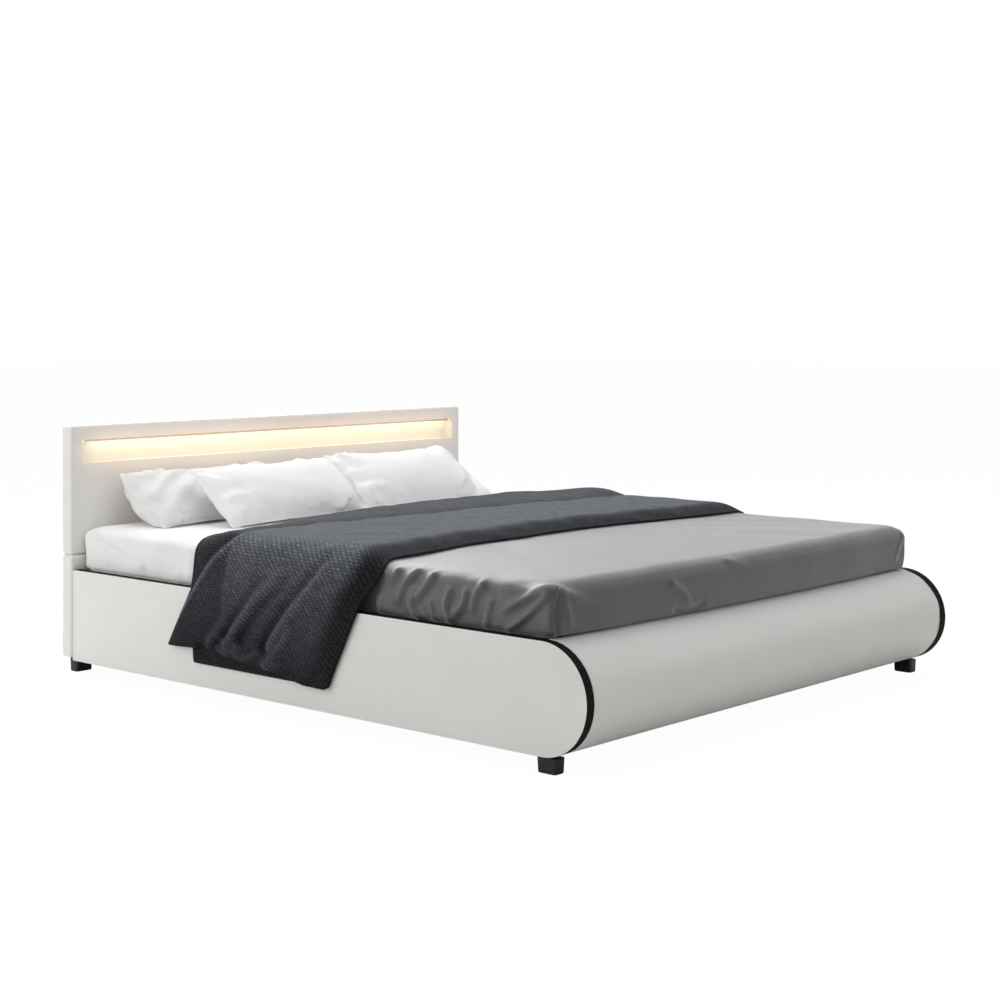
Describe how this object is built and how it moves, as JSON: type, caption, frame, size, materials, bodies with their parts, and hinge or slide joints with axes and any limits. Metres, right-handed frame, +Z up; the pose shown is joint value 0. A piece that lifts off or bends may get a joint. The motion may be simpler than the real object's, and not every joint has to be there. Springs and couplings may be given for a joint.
{
  "type": "upholstered double bed",
  "caption": "Low bed frame in white leather with a rolled footboard and a lit slot in its headboard, made up with mattress, sheets, pillows and a knitted throw.",
  "frame": {"origin": "on the floor, under the middle of the bed's length and width", "axes": "+X across the bed, +Y towards the headboard, +Z up"},
  "size_m": [1.9522, 2.2444, 0.823],
  "materials": {
    "leather": "smooth white leather with a soft sheen",
    "edge_band": "black leather-look band, satin",
    "black_plastic": "black moulded plastic, satin",
    "plywood": "raw plywood",
    "beech": "bent beech, clear lacquer",
    "black_cloth": "hardboard faced with black non-woven cloth",
    "lacquer": "board lined in warm white",
    "aluminium": "satin",
    "led_tape": "white tape with small pale chips",
    "diffuser": "opal, glowing warm white",
    "steel": "black powder coat",
    "zinc": "zinc plated",
    "ticking": "woven mattress cover",
    "white_cotton": "smooth white cotton",
    "grey_satin": "grey satin weave with a soft gloss",
    "slate_knit": "dark slate fine knit"
  },
  "bodies": {
    "root": {"headboard_upper_core": "plywood", "headboard_upper_cover": "leather", "headboard_lower_core": "plywood", "headboard_lower_cover": "leather", "headboard_back_panel": "black_cloth", "headboard_batten_left": "plywood", "headboard_batten_right": "plywood", "light_trough": "lacquer", "led_channel": "aluminium", "led_strip": "led_tape", "led_diffuser": "diffuser", "led_driver": "black_plastic", "led_lead": "black_plastic", "dc_inlet": "black_plastic", "side_rail_left": "plywood", "side_rail_right": "plywood", "side_rail_cover_left": "leather", "side_rail_cover_right": "leather", "side_rail_band_left": "edge_band", "side_rail_band_right": "edge_band", "slat_ledge_left": "beech", "slat_ledge_right": "beech", "slat_mat_left": "beech", "slat_mat_right": "beech", "corner_bracket_head_left": "steel", "corner_bracket_head_right": "steel", "corner_bracket_foot_left": "steel", "corner_bracket_foot_right": "steel", "bolt_rail_head_left": "zinc", "bolt_rail_head_right": "zinc", "bolt_rail_foot_left": "zinc", "bolt_rail_foot_right": "zinc", "bolt_board_head_left": "zinc", "bolt_board_head_right": "zinc", "bolt_board_foot_left": "zinc", "bolt_board_foot_right": "zinc", "foot_front_left": "black_plastic", "foot_front_right": "black_plastic", "foot_rear_left": "black_plastic", "foot_rear_right": "black_plastic", "footboard_board": "plywood", "footboard_former_1": "plywood", "footboard_former_2": "plywood", "footboard_former_3": "plywood", "footboard_skin": "plywood", "footboard_cover": "leather", "centre_beam": "steel", "beam_hanger_head": "steel", "beam_hanger_foot": "steel", "centre_leg_1": "steel", "centre_leg_2": "steel", "mattress": "ticking", "fitted_sheet": "white_cotton", "flat_sheet": "grey_satin", "knitted_throw": "slate_knit", "pillow_back_left": "white_cotton", "pillow_back_right": "white_cotton", "pillow_front_left": "white_cotton", "pillow_front_right": "white_cotton"}
  },
  "joints": []
}
